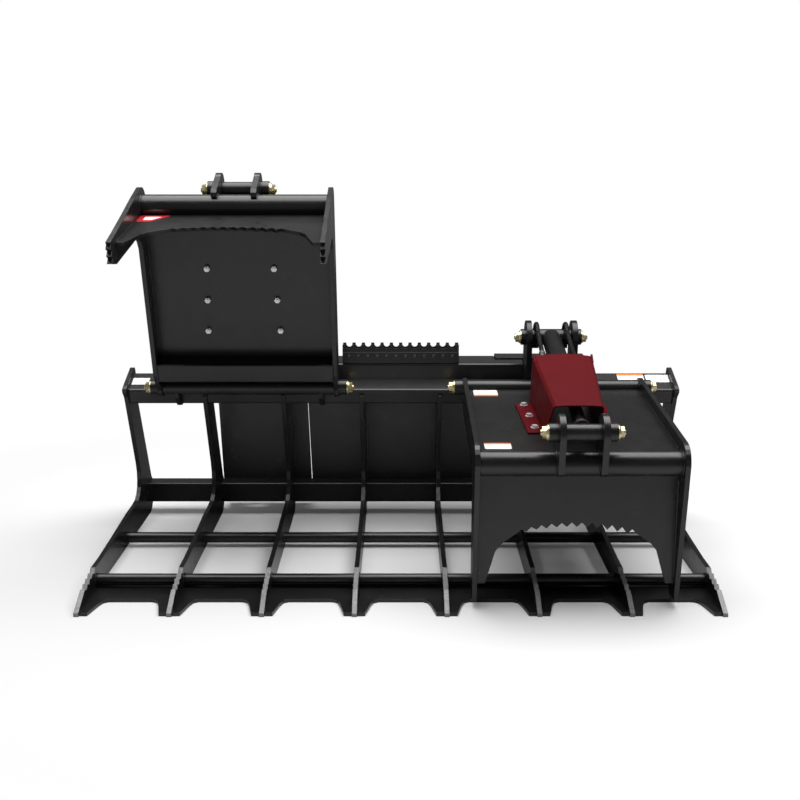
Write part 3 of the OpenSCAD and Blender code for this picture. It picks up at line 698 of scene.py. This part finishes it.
def lid_beads(side):
    """Beads of a lid: plates to sides, the pipe and the beam to sides, and the clevis ears to the pipe."""
    beads = []
    inner = LID_W / 2 - SIDE
    whole_pipe = ring(0.0, PIPE, PIPE_R)[:, 1:]
    pipe_at_clevis = ring(0.0, PIPE, PIPE_R, *CLEVIS_ARC)[:, 1:]
    beam = on_plate(BEAM_BACK + np.array([0.0, 0.0, BEAM, BEAM]),
                    -LID_PLATE - np.array([BEAM_GAP, BEAM, BEAM, BEAM_GAP]))
    for k in (-1.0, 1.0):
        for up in (0.0, -LID_PLATE):
            beads.append(bead(on_lid(side, k * inner, on_plate(PLATE_BEAD, up))))
        beads.append(bead(on_lid(side, k * inner, whole_pipe), True))
        for face in (FRONT_Y, FRONT_Y + FRONT_T):
            beads.append(bead(on_lid(side, k * inner, [(face, z) for z in FRONT_BEAD])))
        beads.append(bead(on_lid(side, k * inner, beam)))
        for edge in (-0.5, 0.5):
            beads.append(bead(on_lid(side, k * CLEVIS_X + edge * EAR, pipe_at_clevis)))
    return beads


FRAME_BEADS = tine_beads() + tube_beads(-1.0) + tube_beads(1.0)
put_mesh("frame_welds", *joined(FRAME_BEADS), BLACK, "frame", "black_paint", True)
for side_name in SIDES:
    put_mesh(f"{side_name}_lid_welds", *joined(lid_beads(side_name)), BLACK, f"{side_name}_lid",
             "black_paint", True)


# The floor and the backdrop. A pair goes from the near end of a reach to its far end.
FLOOR_SIZE = 9.0
FLOOR_TONE = 0.71
# The floor's tone in gloss, over this reach of Y: darker than to the camera and darker still behind the
# object, as painted shade in the reflections on the object's faces.
FLOOR_IN_GLOSS = (0.66, 0.09)
GLOSS_REACH = (0.1, 0.7)
# The pool round the object where the camera's glow on the floor is weak, which paints shade on the floor
# round it over the lamp's real shadow: its middle and its half width and depth. The glow's and the white's
# reaches are shares of these.
POOL_MIDDLE = (0.0, 0.45, 0.0)
POOL = (0.95, 0.65)
FLOOR_GLOW = (0.03, 0.17)
GLOW_REACH = (0.35, 1.15)
WHITE_REACH = (1.15, 2.6)
# The world's light, over this reach of the height that a ray looks at.
WORLD_LIGHT = (0.16, 0.04)
WORLD_REACH = (0.14, 0.40)
BACKDROP_GLOSS = 0.035
# The one lamp: its place, its width and depth, and its power in watts.
LAMP = (0.25, 0.42, 3.1)
LAMP_SIZE = (4.4, 2.75)
LAMP_POWER = 197.0
# The camera that the photograph's tines, tubes and lids agree on, in pixels, degrees and metres.
IMAGE = 800.0
SENSOR = 36.0
FOCAL = 1147.15
SHIFT = -0.7
LOOKING_DOWN = 12.22
CAMERA = (0.0, -(2.7551 + REF_Y), 1.1649)


def ray_mask(nodes, links):
    """How much of the backdrop a ray sees: all of it for the camera and for glass, a part for gloss."""
    path = nodes.new("ShaderNodeLightPath")
    total = 0.0
    parts = {"Is Camera Ray": 1.0, "Is Transmission Ray": 1.0, "Is Glossy Ray": BACKDROP_GLOSS}
    for ray, part in parts.items():
        step = worked(nodes, links, "ShaderNodeMath", "MULTIPLY_ADD", path.outputs[ray], part, total)
        step.use_clamp = True
        total = step.outputs["Value"]
    return total


def rising(nodes, links, source, reach, values):
    """A value that goes smoothly from one number to another as the source goes over its reach."""
    made = nodes.new("ShaderNodeMapRange")
    made.interpolation_type = "SMOOTHSTEP"
    for name, value in zip(("From Min", "From Max", "To Min", "To Max"), (*reach, *values)):
        made.inputs[name].default_value = value
    links.new(source, made.inputs["Value"])
    return made.outputs["Result"]


def floor_material():
    """Matt pale grey, with a glow for the camera that grows from the object outwards to plain white: the
    weak glow near the object is painted shade there. Glossy rays see the floor darker, and darker still
    behind the object, as painted shade in the object's reflections.
    """
    material, nodes, links, shader = new_material("pale floor")
    shader.inputs["Roughness"].default_value = 0.9
    shader.inputs["Specular IOR Level"].default_value = 0.0
    where = nodes.new("ShaderNodeTexCoord")
    place = nodes.new("ShaderNodeSeparateXYZ")
    links.new(where.outputs["Object"], place.inputs["Vector"])
    # Painted shade in reflections: glossy rays see the floor darker than the camera does, most of all
    # behind the object.
    tone = nodes.new("ShaderNodeMix")
    tone.inputs["A"].default_value = FLOOR_TONE
    links.new(nodes.new("ShaderNodeLightPath").outputs["Is Glossy Ray"], tone.inputs["Factor"])
    links.new(rising(nodes, links, place.outputs["Y"], GLOSS_REACH, FLOOR_IN_GLOSS), tone.inputs["B"])
    links.new(tone.outputs["Result"], shader.inputs["Base Color"])
    centred = vector(nodes, links, "SUBTRACT", where.outputs["Object"], POOL_MIDDLE)
    scaled = vector(nodes, links, "MULTIPLY", centred, (1.0 / POOL[0], 1.0 / POOL[1], 0.0))
    far = vector(nodes, links, "LENGTH", scaled, output="Value")
    # Painted shade: the glow is weakest near the object, so the floor round it looks darker than the lamp
    # alone makes it.
    lit = nodes.new("ShaderNodeEmission")
    links.new(rising(nodes, links, far, GLOW_REACH, FLOOR_GLOW), lit.inputs["Strength"])
    glowing = nodes.new("ShaderNodeAddShader")
    links.new(shader.outputs["BSDF"], glowing.inputs[0])
    links.new(lit.outputs["Emission"], glowing.inputs[1])
    white = nodes.new("ShaderNodeEmission")
    white.inputs["Strength"].default_value = 1.0
    plain = nodes.new("ShaderNodeMixShader")
    links.new(rising(nodes, links, far, WHITE_REACH, (0.0, 1.0)), plain.inputs["Fac"])
    links.new(glowing.outputs["Shader"], plain.inputs[1])
    links.new(white.outputs["Emission"], plain.inputs[2])
    seen = nodes.new("ShaderNodeMixShader")
    links.new(ray_mask(nodes, links), seen.inputs["Fac"])
    links.new(shader.outputs["BSDF"], seen.inputs[1])
    links.new(plain.outputs["Shader"], seen.inputs[2])
    links.new(seen.outputs["Shader"], nodes["Material Output"].inputs["Surface"])
    return material


def floor():
    """A pale square, far wider than the object, that takes its shadow and is plain white further out."""
    size = FLOOR_SIZE
    made = put_mesh("floor", [[-size, -size, 0], [size, -size, 0], [size, size, 0], [-size, size, 0]],
                    [[0, 1, 2, 3]], floor_material(), None, None)


def backdrop():
    """The world: white where the camera sees it, dimmer in gloss, and a faint light that is strongest level
    with the object, as from the pale walls round a studio, and falls smoothly with height."""
    world = bpy.data.worlds.new("studio")
    bpy.context.scene.world = world
    world.use_nodes = True
    nodes, links = world.node_tree.nodes, world.node_tree.links
    soft = nodes["Background"]
    soft.inputs["Color"].default_value = (1.0, 1.0, 1.0, 1.0)
    height = nodes.new("ShaderNodeSeparateXYZ")
    links.new(nodes.new("ShaderNodeTexCoord").outputs["Generated"], height.inputs["Vector"])
    links.new(rising(nodes, links, height.outputs["Z"], WORLD_REACH, WORLD_LIGHT), soft.inputs["Strength"])
    white = nodes.new("ShaderNodeBackground")
    white.inputs["Color"].default_value = (1.0, 1.0, 1.0, 1.0)
    white.inputs["Strength"].default_value = 1.0
    mix = nodes.new("ShaderNodeMixShader")
    links.new(ray_mask(nodes, links), mix.inputs["Fac"])
    links.new(soft.outputs["Background"], mix.inputs[1])
    links.new(white.outputs["Background"], mix.inputs[2])
    links.new(mix.outputs["Shader"], nodes["World Output"].inputs["Surface"])


def softbox():
    """The one lamp, a wide softbox above the object that shines straight down."""
    data = bpy.data.lights.new("overhead", "AREA")
    data.shape = "RECTANGLE"
    data.size = LAMP_SIZE[0]
    data.size_y = LAMP_SIZE[1]
    data.energy = LAMP_POWER
    lamp = bpy.data.objects.new("overhead", data)
    bpy.context.scene.collection.objects.link(lamp)
    lamp.location = LAMP
    lamp.visible_camera = False


def camera():
    """The camera at the photograph's viewing angle."""
    data = bpy.data.cameras.new("camera")
    data.sensor_width = SENSOR
    data.lens = SENSOR * FOCAL / IMAGE
    data.shift_x = SHIFT / IMAGE
    data.clip_end = 60.0
    made = bpy.data.objects.new("camera", data)
    bpy.context.scene.collection.objects.link(made)
    made.location = CAMERA
    made.rotation_euler = (math.radians(90.0 - LOOKING_DOWN), 0.0, 0.0)
    bpy.context.scene.camera = made


backdrop()
camera()
floor()
softbox()
bpy.context.scene.view_settings.view_transform = "Standard"
